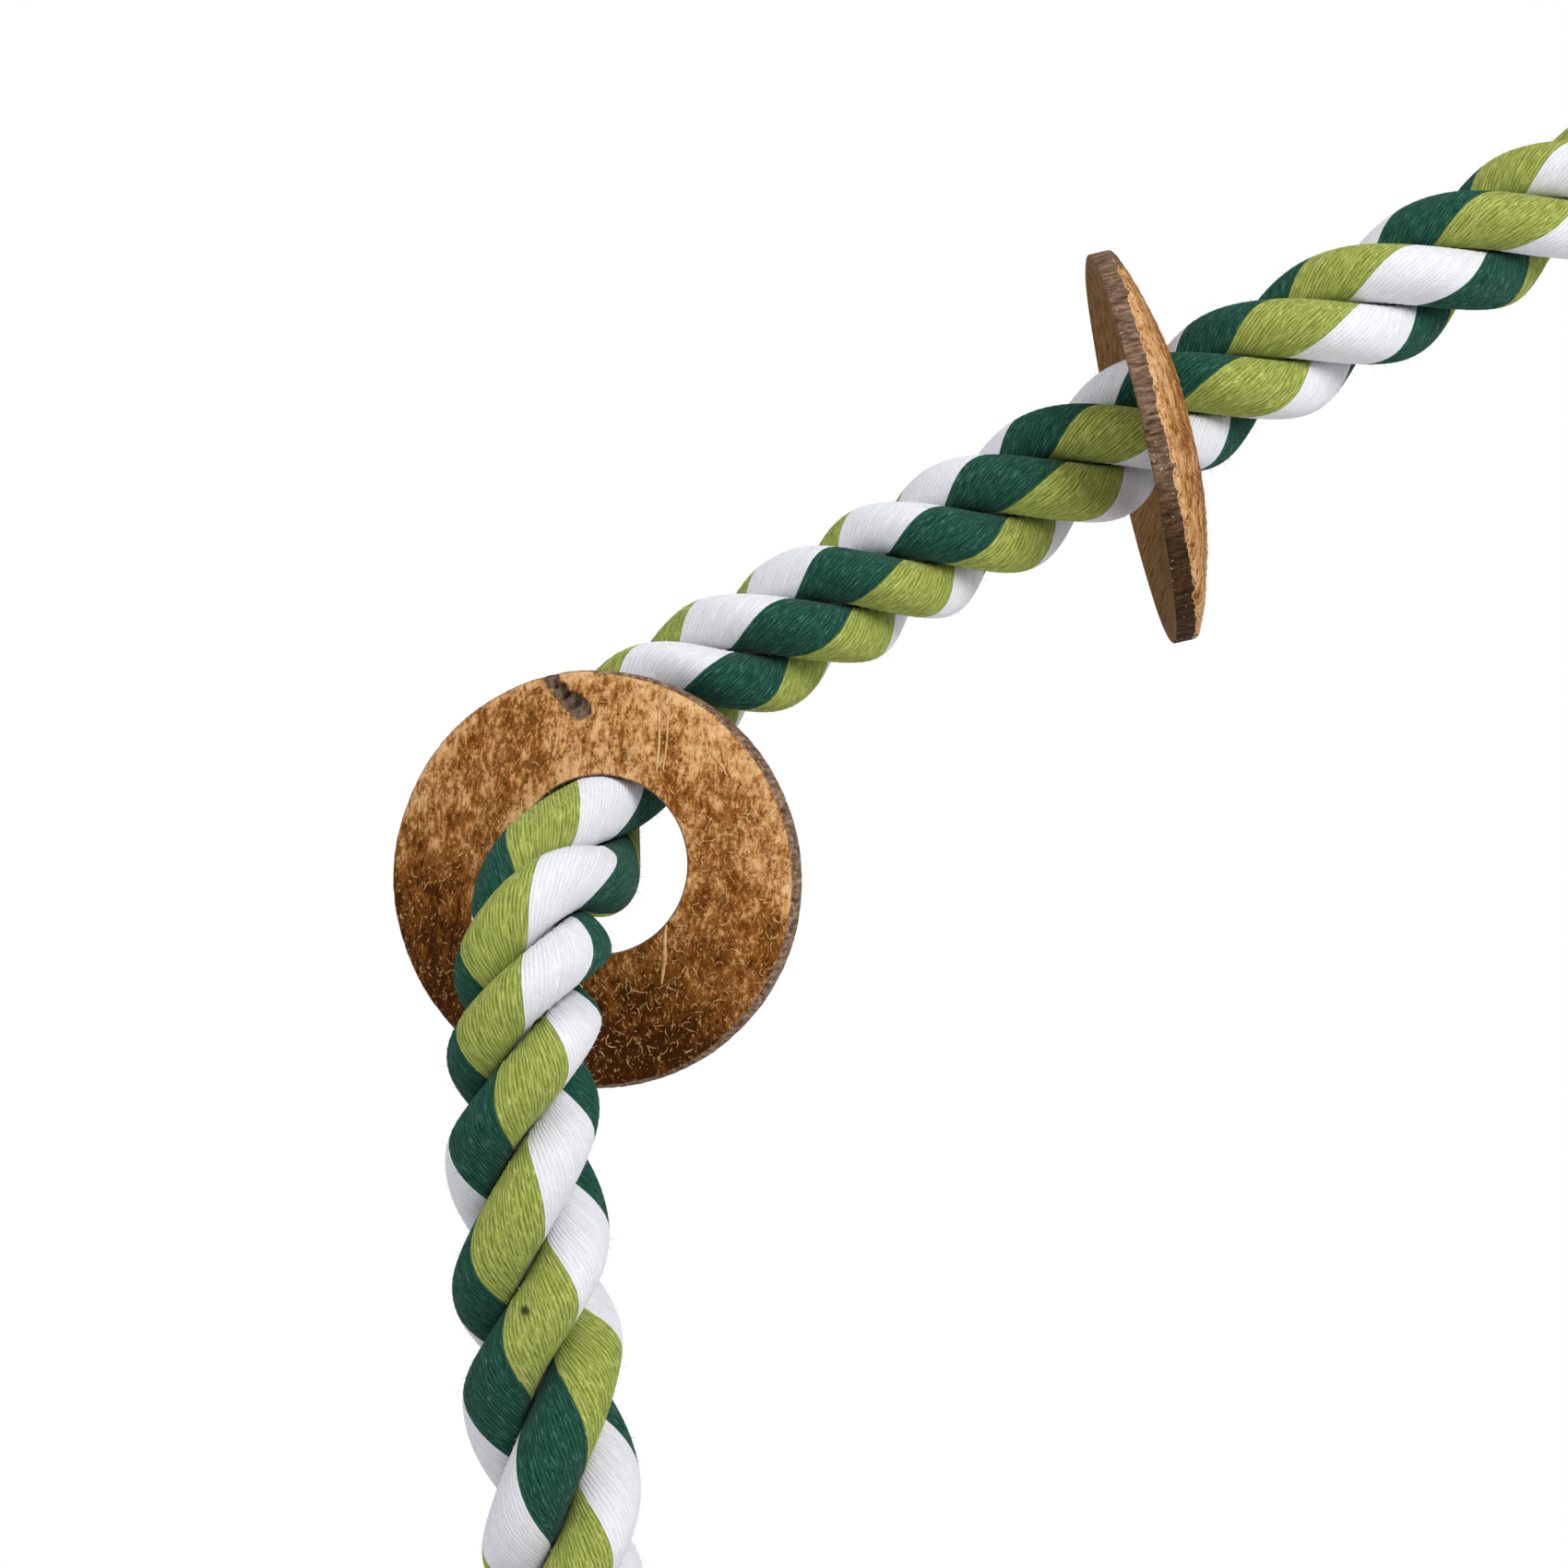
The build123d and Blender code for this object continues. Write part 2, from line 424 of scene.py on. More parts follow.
def rope_material():
    """Three colours of cotton yarn: u goes round the strand, and v along the rope."""
    side_line_scale = (50, 60, 1)
    fibre_scale = (150, 55, 1)
    gap_shade_weight = 0.6375
    side_line_depth = 0.4
    dark_fibre_weight = 0.595
    own_weight = 0.25
    light_fibre_weight = 0.85
    # Ranges of the noise, and of the distance from a yarn's middle in yarn widths
    unbroken_range = (0.32, 0.56)
    side_range = (0.16, 0.44)
    dark_range = (0.48, 0.34)
    light_range = (0.52, 0.70)
    material, tree, shader = new_material("rope_cotton_yarn")
    uv = add_node(tree, "ShaderNodeUVMap", uv_map="yarn").outputs[0]
    around = add_node(tree, "ShaderNodeSeparateXYZ", {0: uv}).outputs[0]
    tones = []
    for tone in range(3):
        stops = [(0.0, light_green[tone]), (1 / 3, pale_yarn[tone]), (2 / 3, dark_green[tone])]
        tones.append(colour_ramp(around, stops, "CONSTANT"))
    plain, gap_shade_and_dark_fibre, light_fibre = tones

    # Each yarn has its own brightness, a dark line at its sides, which is painted shade in the gap
    # between two yarns and also a groove in the bump, and light and dark fibres along it.
    yarn = times(around, yarns)
    number = math_node("FLOOR", yarn)
    own = add_node(tree, "ShaderNodeTexWhiteNoise", {"W": number}, noise_dimensions="1D").outputs["Value"]
    across_yarn = math_node("SUBTRACT", math_node("FRACT", yarn), 0.5)
    from_middle = math_node("ABSOLUTE", across_yarn)
    breaks = stretched_noise(uv, side_line_scale, detail=3.0, roughness=0.6)
    unbroken = between(breaks, *unbroken_range)
    side_line = times(between(from_middle, *side_range), unbroken)
    fibres = stretched_noise(uv, fibre_scale, detail=4.0, roughness=0.72)
    # Painted shade in the gaps between yarns, along each yarn's sides.
    painted_gap_shade = times(side_line, gap_shade_weight)
    dark_fibres = times(between(fibres, *dark_range), dark_fibre_weight)
    darkness = times_plus(own, own_weight, math_node("MAXIMUM", painted_gap_shade, dark_fibres))
    colour = mix_colour(darkness, plain, gap_shade_and_dark_fibre)
    lightness = times(between(fibres, *light_range), light_fibre_weight)
    colour = mix_colour(lightness, colour, light_fibre)
    colour = mix_colour(clear_of_smudge(tree, fibres), smudge_colour, colour)
    set_inputs(shader, {"Base Color": colour, "Roughness": 0.95, "Specular IOR Level": 0.06})
    set_inputs(shader, {"Sheen Weight": 0.06, "Sheen Roughness": 0.5})
    height = math_node("SUBTRACT", fibres, times(side_line, side_line_depth))
    add_bump(shader, height, strength=0.6, distance=0.22 * MM)
    return material


def clear_of_smudge(tree, fibres):
    """0 on the rope's small dark smudge and 1 away from it, with a ragged edge. The smudge goes deep."""
    flatten = (1, 0.2, 1)
    raggedness = 0.6 * MM
    flattened = stretched(object_place(tree), flatten)
    middle = smudge_place * Vector(flatten)
    ends = {0: flattened, 1: middle}
    distance = add_node(tree, "ShaderNodeVectorMath", ends, operation="DISTANCE").outputs["Value"]
    ragged = times_plus(fibres, raggedness, distance)
    return between(ragged, 0.6 * smudge_r, 1.5 * smudge_r)


def disc_material():
    """Coconut shell: a fibrous husk side, a sawn rim and a smooth inner side."""
    grain_scale = (1700, 620, 900)
    pit_scale = (1700, 900, 900)
    saw_scale = (1500, 1500, 420)
    pit_range = (0.58, 0.66)
    husk_range = (0.4, 0.6)
    sawn_range = (0.3, 0.7)
    chip_stops = [(0.35, (0.045, 0.026, 0.017)), (0.65, (0.210, 0.145, 0.105))]
    grain_height = 0.8
    pit_depth = 0.35
    inner_share = 0.25
    saw_height = 0.4
    material, tree, shader = new_material("coconut_shell_raw")
    place = object_place(tree)
    husk = attribute(tree, "husk")
    sawn = attribute(tree, "sawn")
    grain = stretched_noise(place, grain_scale, detail=4.0, roughness=0.7)
    pits = between(stretched_noise(place, pit_scale, detail=4.0, roughness=0.7), *pit_range)
    saw_lines = stretched_noise(place, saw_scale, detail=4.0, roughness=0.68)
    husk_colour = husk_colours(tree, place, grain, pits)
    rim_colour = rim_colours(tree, place, husk, saw_lines, husk_colour)
    colour = mix_colour(between(husk, *husk_range), inner_colours(place), husk_colour)
    colour = mix_colour(between(sawn, *sawn_range), colour, rim_colour)
    colour = mix_colour(attribute(tree, "chip"), colour, colour_ramp(grain, chip_stops))
    set_inputs(shader, {"Base Color": colour, "Roughness": 0.75, "Specular IOR Level": 0.05})
    height = math_node("SUBTRACT", times(grain, grain_height), times(pits, pit_depth))
    height = times(height, times_plus(husk, 1 - inner_share, inner_share))
    height = times_plus(saw_lines, times(sawn, saw_height), height)
    add_bump(shader, height, strength=0.7, distance=0.3 * MM)
    return material


def husk_colours(tree, place, grain, pits):
    """Worn pale patches with ragged edges between brown ones, the painted shadow of the rope on the
    left disc's lower left, and light and dark fibres in both.
    """
    patch_scale = (250, 190, 250)
    patch_weight = 0.68
    grain_weight = 0.38
    base_tone = 0.045
    wear_and_shade_weight = 0.11
    husk_stops = [
        (0.44, (0.045, 0.012, 0.001)),
        (0.52, (0.150, 0.048, 0.006)),
        (0.585, (0.245, 0.094, 0.021)),
        (0.605, (0.400, 0.190, 0.064)),
        (0.70, (0.640, 0.385, 0.180)),
    ]
    dash_scale = (3300, 950, 1600)
    dash_slants = (0.45, -0.6)
    dash_range = (0.63, 0.70)
    dash_weight = 0.75
    dash_colour = (0.640, 0.370, 0.140)
    pit_weight = 0.75
    pit_colour = (0.060, 0.019, 0.004)
    patches = stretched_noise(place, patch_scale, detail=10.0, roughness=0.8)
    tone = times_plus(patches, patch_weight, times_plus(grain, grain_weight, base_tone))
    # The husk is paler where worn, darker towards its lower right, and darker still under the painted
    # shadow of the rope.
    tone = times_plus(attribute(tree, "wear_and_painted_shade"), wear_and_shade_weight, tone)
    colour = colour_ramp(tone, husk_stops)
    slants = [slanted(place, slant) for slant in dash_slants]
    dashes = [stretched_noise(slant, dash_scale, detail=2.0, roughness=0.6) for slant in slants]
    light_dashes = between(math_node("MAXIMUM", *dashes), *dash_range)
    colour = mix_colour(times(light_dashes, dash_weight), colour, dash_colour)
    return mix_colour(times(pits, pit_weight), colour, pit_colour)


def rim_colours(tree, place, husk, saw_lines, husk_colour):
    """Brown with fine saw lines and light flecks, darker by the rim's own tone and by painted shade
    towards its bottom, and the husk's ragged edge over it."""
    rim_stops = [(0.34, (0.06, 0.032, 0.017)), (0.52, (0.207, 0.13, 0.085)), (0.7, (0.42, 0.29, 0.208))]
    darkening = (0.27, 0.21, 0.14)
    fleck_scale = 1700.0
    fleck_range = (0.70, 0.75)
    fleck_weight = 0.8
    fleck_colour = (0.55, 0.42, 0.29)
    edge_scale = 420.0
    raggedness = 0.85
    torn_range = (1.31, 1.33)
    torn_colour = (0.60, 0.40, 0.22)
    husk_range = (1.35, 1.38)
    colour = colour_ramp(saw_lines, rim_stops)
    # The rim's darker tone, with painted shade towards its bottom.
    colour = mix_colour(attribute(tree, "rim_tone_and_painted_shade"), colour, darkening, "MULTIPLY")
    flecks = between(noise_node(place, fleck_scale, detail=1.0), *fleck_range)
    colour = mix_colour(times(flecks, fleck_weight), colour, fleck_colour)
    ragged = times_plus(noise_node(place, edge_scale, detail=5.0, roughness=0.68), raggedness, husk)
    colour = mix_colour(between(ragged, *torn_range), colour, torn_colour)
    return mix_colour(between(ragged, *husk_range), colour, husk_colour)


def inner_colours(place):
    """Smooth, warm brown, with slanting veins."""
    vein_slant = 0.6
    vein_scale = (300, 1500, 300)
    inner_stops = [(0.34, (0.066, 0.027, 0.007)), (0.48, (0.165, 0.082, 0.026)), (0.7, (0.27, 0.15, 0.06))]
    veins = stretched_noise(slanted(place, vein_slant), vein_scale, detail=6.0, roughness=0.7)
    return colour_ramp(veins, inner_stops)


def fibre_material():
    """Loose husk fibres."""
    stops = [(0.35, (0.38, 0.19, 0.060)), (0.65, (0.66, 0.40, 0.16))]
    material, tree, shader = new_material("coconut_fibre")
    tone = noise_node(object_place(tree), scale=900.0, detail=2.0)
    set_inputs(shader, {"Base Color": colour_ramp(tone, stops), "Roughness": 0.6})
    return material


def nylon_material():
    """Moulded nylon with a fine grain."""
    stops = [(0.3, (0.020, 0.021, 0.021)), (0.7, (0.036, 0.038, 0.037))]
    material, tree, shader = new_material("cap_nylon_moulded")
    place = object_place(tree)
    grain = noise_node(place, scale=2600.0, detail=2.0)
    cloud = noise_node(place, scale=140.0, detail=3.0)
    roughness = times_plus(cloud, factor=0.5, added=0.3)
    set_inputs(shader, {"Base Color": colour_ramp(cloud, stops), "Roughness": roughness})
    add_bump(shader, grain, strength=0.25, distance=0.1 * MM)
    return material


def zinc_material():
    """Zinc plate: bright, with faint cloudy patches and fine scratches."""
    scratch_scale = (300, 300, 4000)
    stops = [(0.30, (0.34, 0.35, 0.35)), (0.55, (0.46, 0.47, 0.47)), (0.75, (0.54, 0.53, 0.49))]
    material, tree, shader = new_material("zinc_plate")
    place = object_place(tree)
    cloud = noise_node(place, scale=220.0, detail=4.0)
    scratch = stretched_noise(place, scratch_scale, detail=2.0)
    roughness = times_plus(cloud, factor=0.35, added=0.16)
    colour = colour_ramp(cloud, stops)
    set_inputs(shader, {"Base Color": colour, "Metallic": 1.0, "Roughness": roughness})
    add_bump(shader, scratch, strength=0.12, distance=0.05 * MM)
    return material


def core_material(name, colour, metallic, roughness):
    """The hidden core: a drawn wire or a smooth sleeve."""
    dull_share = 0.8
    material, tree, shader = new_material(name)
    tone = noise_node(object_place(tree), scale=500.0, detail=2.0)
    dull = tuple(dull_share * part for part in colour)
    mottled = colour_ramp(tone, [(0.35, dull), (0.65, colour)])
    set_inputs(shader, {"Base Color": mottled, "Metallic": metallic, "Roughness": roughness})
    return material


# Rope


def spline_points(route):
    """Points along the smooth NURBS line that the route's points control."""
    curve = bpy.data.curves.new("rope_route", "CURVE")
    curve.dimensions = "3D"
    curve.resolution_u = 60
    spline = curve.splines.new("NURBS")
    spline.points.add(len(route) - 1)
    for place, point in zip(route, spline.points):
        point.co = (*place, 1)
    spline.order_u = 3
    spline.use_endpoint_u = True
    holder = bpy.data.objects.new("rope_route", curve)
    mesh = bpy.data.meshes.new_from_object(holder)
    points = np.array([vertex.co for vertex in mesh.vertices])
    bpy.data.objects.remove(holder)
    bpy.data.curves.remove(curve)
    bpy.data.meshes.remove(mesh)
    return points


def lengths_along(line):
    steps = lengths_of(np.diff(line, axis=0))
    return np.concatenate([[0.0], np.cumsum(steps)])


def even_line(points, step):
    """The line through the points, with evenly spaced points."""
    length = lengths_along(points)
    places = np.linspace(0, length[-1], round(length[-1] / step) + 1)
    return np.stack([np.interp(places, length, points[:, axis]) for axis in range(3)], -1)


def line_frames(line):
    """Two normals at each point, which don't twist about the line."""
    tangent = unit(np.gradient(line, axis=0))
    normal = np.zeros_like(line)
    last = np.cross(tangent[0], (0, 0, 1.0))
    for index, along in enumerate(tangent):
        last = last - along * (last @ along)
        last = last / np.linalg.norm(last)
        normal[index] = last
    return normal, np.cross(tangent, normal)


def running_mean(values, count):
    padded = np.pad(values, count, mode="reflect", reflect_type="odd")
    return np.convolve(padded, np.full(2 * count + 1, 1 / (2 * count + 1)), "valid")


def lay_turns(line, length, normal, binormal):
    """The turn of the lay along the rope, from the grooves that face the front, and the turn of the
    front itself."""
    to_front = np.array(camera_place) - line
    front = np.unwrap(np.arctan2((to_front * binormal).sum(1), (to_front * normal).sum(1)))
    marks = np.array(groove_marks_mm) * MM
    front_at_marks = np.interp(marks, length, front)
    mark_turns = front_at_marks + 2 * math.pi / strands * np.arange(len(marks))
    lay_turn = running_mean(np.interp(length, marks, mark_turns), lay_window)
    front_turn = running_mean(np.interp(length, marks, front_at_marks), lay_window)
    return lay_turn, front_turn


def rope_radius(length, swell):
    """The rope's radius along it: it swells at its lower end and is pressed in by the end caps."""
    radius = upper_rope_r + (lower_rope_r - upper_rope_r) * swell
    from_end = np.minimum(length, length[-1] - length)
    free = smooth_step(from_end, socket_depth, free_from_end)
    return capped_rope_r + (radius - capped_rope_r) * free


def yarn_columns():
    """The place of each column of points round a strand, and how high its yarn arches there."""
    column = np.arange(columns_each)
    yarn_ends = np.cumsum(random.uniform(*yarn_widths, yarns))
    yarn_ends = np.concatenate([[0.0], yarn_ends]) / yarn_ends[-1]
    around = np.interp(column / points_per_yarn, np.arange(yarns + 1), yarn_ends)
    arch = np.sin(math.pi * (column % points_per_yarn) / points_per_yarn)
    return around, arch


def yarn_angles(strand, length, around, past_front):
    """The angle of each yarn column from its strand's outward direction, along the rope. past_front is
    how far that direction is turned from the front."""
    crests_mm, crest_turns = crest_colours[strand]
    turn = running_mean(np.interp(length / MM, crests_mm, crest_turns), twist_window)
    untwist = 2 * past_front
    return 2 * math.pi * (turn[:, None] - around[None, :]) - untwist[:, None]


def strand_reach(angle, rope_r, offset):
    """How far a strand's surface is from its own middle, at an angle from the outward direction.
    Its round side is pressed flat against its two neighbours and against the core."""
    least = 1e-6
    side = math.pi / strands
    crest = rope_r - offset
    inverse = crest**-corner_softness + np.zeros(np.broadcast(angle, offset).shape)
    for turn in (math.pi / 2 + side, -math.pi / 2 - side):
        toward = np.maximum(np.cos(angle - turn), least)
        inverse += (toward / (offset * math.sin(side) + strand_press)) ** corner_softness
    inward = np.maximum(-np.cos(angle), least)
    inverse += (inward / (offset - core_hole_r)) ** corner_softness
    return inverse ** (-1 / corner_softness)


def strand_skin(length, first):
    """A strand's faces, with its points counted from first, and its places in the yarn map."""
    rows = len(length)
    column = np.arange(columns_each)
    u = np.arange(columns_each + 1) / columns_each
    v = length / yarn_map_unit
    # The yarns run backward round the strand, so its faces are turned over to look outward.
    faces = (first + grid_faces(rows, columns_each))[:, ::-1].tolist()
    corners = np.zeros((rows - 1, columns_each, 4, 2))
    corners[..., 0] = np.stack([u[column], u[column + 1], u[column + 1], u[column]], -1)[None]
    corners[..., 1] = np.stack([v[1:], v[1:], v[:-1], v[:-1]], -1)[:, None]
    uvs = [corners.reshape(-1, 2)]
    for row in (0, rows - 1):
        end = (first + row * columns_each + column).tolist()
        faces.append(end[::-1] if row else end)
        uvs.append(np.stack([u[:-1], np.full(columns_each, v[row])], -1))
    return faces, np.concatenate(uvs)


def rope_pieces(material):
    """The three laid strands as one mesh, the loose hairs on them, and the rope's middle line."""
    line = even_line(spline_points(rope_route), ring_step)
    length = lengths_along(line)
    normal, binormal = line_frames(line)
    lay_turn, front_turn = lay_turns(line, length, normal, binormal)
    swell = smooth_step(length, thick_from, thick_to)
    rope_r = rope_radius(length, swell)
    offset_share = upper_offset_share + (lower_offset_share - upper_offset_share) * swell
    around, arch = yarn_columns()
    along_only = np.stack([length, 0 * length, 0 * length], -1)

    points = []
    outward = []
    faces = []
    uvs = []
    for strand in range(strands):
        middle_turn = lay_turn - math.pi / strands * (1 + 2 * strand)
        angle = yarn_angles(strand, length, around, middle_turn - front_turn)
        wander = noise_at(along_only, wander_size, wander_seed_step * strand)
        ring_r = rope_r * (1 + wander_share * wander)
        offset = offset_share * ring_r
        reach = strand_reach(angle, ring_r[:, None], offset[:, None])
        reach = reach - yarn_height * (1 - arch)[None, :]
        radial = turned_from(normal, binormal, middle_turn)
        sideways = turned_from(binormal, -normal, middle_turn)
        direction = turned_from(radial[:, None], sideways[:, None], angle)
        rings = line[:, None] + (offset[:, None] * radial)[:, None] + reach[..., None] * direction
        strand_faces, strand_uvs = strand_skin(length, strand * len(rings) * columns_each)
        points.append(rings.reshape(-1, 3))
        outward.append(direction.reshape(-1, 3))
        faces += strand_faces
        uvs.append(strand_uvs)
    points = np.concatenate(points)
    for look in (left_look, right_look):
        points = clear_of_disc(points, look)
    rope = new_piece("rope_strands", points, faces, material, np.concatenate(uvs))
    hairs = rope_hairs(points, np.concatenate(outward), length, line, material)
    return rope, hairs, line


def clear_of_disc(points, look):
    """The soft rope gives way at a disc's hole: points inside the shell move to its nearest side."""
    to_local = np.array(disc_matrix(look).inverted())
    local = points @ to_local[:3, :3].T + to_local[:3, 3]
    radius = lengths_of(local[:, :2])
    front, back = shell_sides(local[:, :2] + look["hole_offset"])
    into_wall = radius - (hole_r - rope_clear)
    into_front = front + rope_clear + husk_relief - local[:, 2]
    into_back = local[:, 2] - back + rope_clear
    inside = (into_wall > 0) & (into_front > 0) & (into_back > 0) & (radius < disc_r)
    least = np.minimum(into_wall, np.minimum(into_front, into_back))
    by_wall = inside & (least == into_wall)
    by_front = inside & (least == into_front)
    by_back = inside & (least == into_back)
    local[by_wall, :2] *= (1 - into_wall[by_wall] / radius[by_wall])[:, None]
    local[by_front, 2] += into_front[by_front]
    local[by_back, 2] -= into_back[by_back]
    to_row = np.linalg.inv(to_local)
    return local @ to_row[:3, :3].T + to_row[:3, 3]


def rope_hairs(points, outward, length, line, material):
    """Loose fibre ends, as thin bent three-sided tubes that stand off the yarns."""
    tries = 6 * fuzz_hairs
    least_reach = 0.36 * rope_d
    root_depth = 0.05 * MM
    reach_shares = (0.3, 1.0)
    lean = 0.45
    taper = 0.7
    shares = (0.0, 0.35, 0.7, 1.0)
    sides = 3
    chosen = random.integers(0, len(points), tries)
    row = chosen // columns_each % len(length)
    far_out = lengths_of(points[chosen] - line[row]) > least_reach
    inside_cap = (length[row] < socket_depth) | (length[row] > length[-1] - socket_depth)
    kept = np.flatnonzero(far_out & ~inside_cap)[:fuzz_hairs]
    chosen = chosen[kept]
    row = row[kept]
    column = chosen % columns_each
    side = random.normal(0, 1, (len(chosen), 3))
    sweep = random.normal(0, 1, (len(chosen), 3))
    reach = fuzz_reach * random.uniform(*reach_shares, len(chosen)) ** 2
    away = outward[chosen]
    root = points[chosen] - away * root_depth
    across = unit(np.cross(away, side))
    upward = np.cross(away, across)
    hair_points = []
    for share in shares:
        lift = away * share + lean * side * share + lean * sweep * share**2
        middle = root + lift * reach[:, None]
        width = fuzz_r * (1 - taper * share)
        for turn in even_angles(sides):
            hair_points.append(middle + width * turned_from(across, upward, turn))
    hair_size = len(hair_points)
    one_hair = tube_faces(len(shares), sides)
    faces = []
    for hair in range(len(chosen)):
        faces += [[hair_size * hair + corner for corner in face] for face in one_hair]
    root_uv = np.stack([(column + 0.5) / columns_each, length[row] / yarn_map_unit], -1)
    uvs = np.repeat(root_uv, sum(len(face) for face in one_hair), axis=0)
    return new_piece("rope_fuzz", np.stack(hair_points, 1).reshape(-1, 3), faces, material, uvs)


def core_tube(name, line, outer_r, inner_r, material):
    """A round bar or tube along the rope's line, inside it."""
    rows = len(line)
    normal, binormal = line_frames(line)
    spoke = turned_from(normal[:, None], binormal[:, None], even_angles(core_sides))
    outer = (line[:, None] + outer_r * spoke).reshape(-1, 3)
    if not inner_r:
        return new_piece(name, outer, tube_faces(rows, core_sides), material)
    inner = (line[:, None] + inner_r * spoke).reshape(-1, 3)
    count = len(outer)
    faces = grid_faces(rows, core_sides).tolist()
    faces += [[corner + count for corner in face[::-1]] for face in faces]
    end = (rows - 1) * core_sides
    for corner in range(core_sides):
        after = (corner + 1) % core_sides
        faces.append([corner, corner + count, after + count, after])
        faces.append([end + after, end + after + count, end + corner + count, end + corner])
    return new_piece(name, np.concatenate([outer, inner]), faces, material)


# Discs


def disc_matrix(look):
    """The frame of a disc, at its hole."""
    return facing(look["place"], look["face"], Vector((0, 0, 1)))


def shell_sides(flat):
    """Heights of a shell disc's outer and inner sides, at flat places from the middle of its outline."""
    farthest = 1.2 * disc_r
    inner_r = shell_sphere_r - shell_thickness
    wall = (math.sqrt(shell_sphere_r**2 - hole_r**2) + math.sqrt(inner_r**2 - hole_r**2)) / 2
    near = np.minimum(lengths_of(flat), farthest)
    return np.sqrt(shell_sphere_r**2 - near**2) - wall, np.sqrt(inner_r**2 - near**2) - wall


def disc_profile():
    """The loop round a disc's section. Each row holds: share of the way from hole to rim, distance
    from that end in edge radii, share of the way from inner to outer side, height in edge radii, and
    1 on the sawn walls."""
    rim_rows = 14
    hole_rows = 8
    quarter = np.radians([15, 35, 55, 75])
    sine = np.sin(quarter)
    cosine = np.cos(quarter)
    across = np.linspace(0, 1, disc_rings)
    back = np.linspace(1, 0, disc_rings // 2)
    down = np.linspace(1, 0, rim_rows)
    up = np.linspace(0, 1, hole_rows)
    parts = [
        (across, 1, 1, 0, 0),
        (1, 1 + sine, 1, cosine - 1, sine),
        (1, 2, down, 1 - 2 * down, 1),
        (1, 1 + cosine, 0, 1 - sine, cosine),
        (back, 1, 0, 0, 0),
        (0, 1 - sine, 0, 1 - cosine, sine),
        (0, 0, up, 1 - 2 * up, 1),
        (0, 1 - cosine, 1, sine - 1, cosine),
    ]
    return np.concatenate([np.stack(np.broadcast_arrays(*part), -1) for part in parts])


def husk_bumps(points, seed):
    """The husk's bumps of three sizes. Those of the middle size are streaks along Y."""
    streaky = points * np.array([1.0, 0.5, 1.0])
    streaks = noise_at(streaky, 0.8 * MM, seed)
    large = 0.7 * noise_at(points, 2.2 * MM, seed + 5)
    fine = 0.6 * noise_at(points, 0.5 * MM, seed + 9)
    return streaks + large + fine


def husk_tears(points, seed):
    """How deep the husk's edge is torn at each point, from 0 to about 1."""
    broad = noise_at(points, 1.4 * MM, seed + 6)
    fine = 0.5 * noise_at(points, 0.5 * MM, seed + 7)
    return np.maximum(broad + fine, 0)


def disc_wear_and_painted_shade(points, share, distance, even_wear_and_rim_shade):
    """How far the husk is worn pale, darker towards its lower right and darkened on its lower left by
    painted shadow of the rope, and how dark the sawn rim is, with painted shade towards its bottom.
    across and upward are millimetres from the middle of the hole."""
    across = points[..., 0] / MM
    upward = points[..., 1] / MM
    top = smooth_step(upward, 6, 24) * smooth_step(across, -18, 4)
    edge = smooth_step(share, 0.80, 1.0) * smooth_step(upward + 0.4 * across, -20, 8)
    lip = (1 - smooth_step(distance, 0.0, 4 * MM)) * smooth_step(upward, 0, 14)
    # The husk is darker towards the lower right.
    lower = smooth_step(0.3 * across - upward, 0, 20)
    # Painted shadow of the rope, which darkens the husk on the disc's lower left.
    painted_rope_shadow = smooth_step(-0.5 * across - upward, 4, 28)
    wear_and_shade_in_places = 0.42 * top + 0.38 * edge + 0.4 * lip - 0.33 * lower - 1.1 * painted_rope_shadow
    wear_and_painted_shade = (1 - even_wear_and_rim_shade) * wear_and_shade_in_places + even_wear_and_rim_shade * 0.45 * smooth_step(share, 0.3, 0.9)
    # The rim's darker tone, and on the evenly worn disc painted shade towards the rim's bottom.
    rim_tone_and_painted_shade = 0.12 + even_wear_and_rim_shade * (0.24 + 0.64 * smooth_step(-upward, 0, 20))
    return wear_and_painted_shade, rim_tone_and_painted_shade


def plain_disc(look, heading, share, from_end, outer_share, raised):
    """A disc without its relief: the points along each spoke, and their distances from the hole."""
    rim_wobble = 0.12 * MM
    wobble_size = 0.35
    hole_offset = look["hole_offset"]
    wobble = noise_at(np.pad(heading, ((0, 0), (0, 1))), wobble_size, look["seed"])
    rim = heading * (disc_r - rim_wobble + rim_wobble * wobble)[:, None] - hole_offset
    hole = heading * hole_r
    run = lengths_of(rim - hole)[:, None]
    distance = share * (run - 2 * edge_round) + edge_round * from_end
    flat = hole[:, None] + unit(rim - hole)[:, None] * distance[..., None]
    outer, inner = shell_sides(flat + hole_offset)
    height = inner + (outer - inner) * outer_share + edge_round * raised
    return np.concatenate([flat, height[..., None]], -1), distance


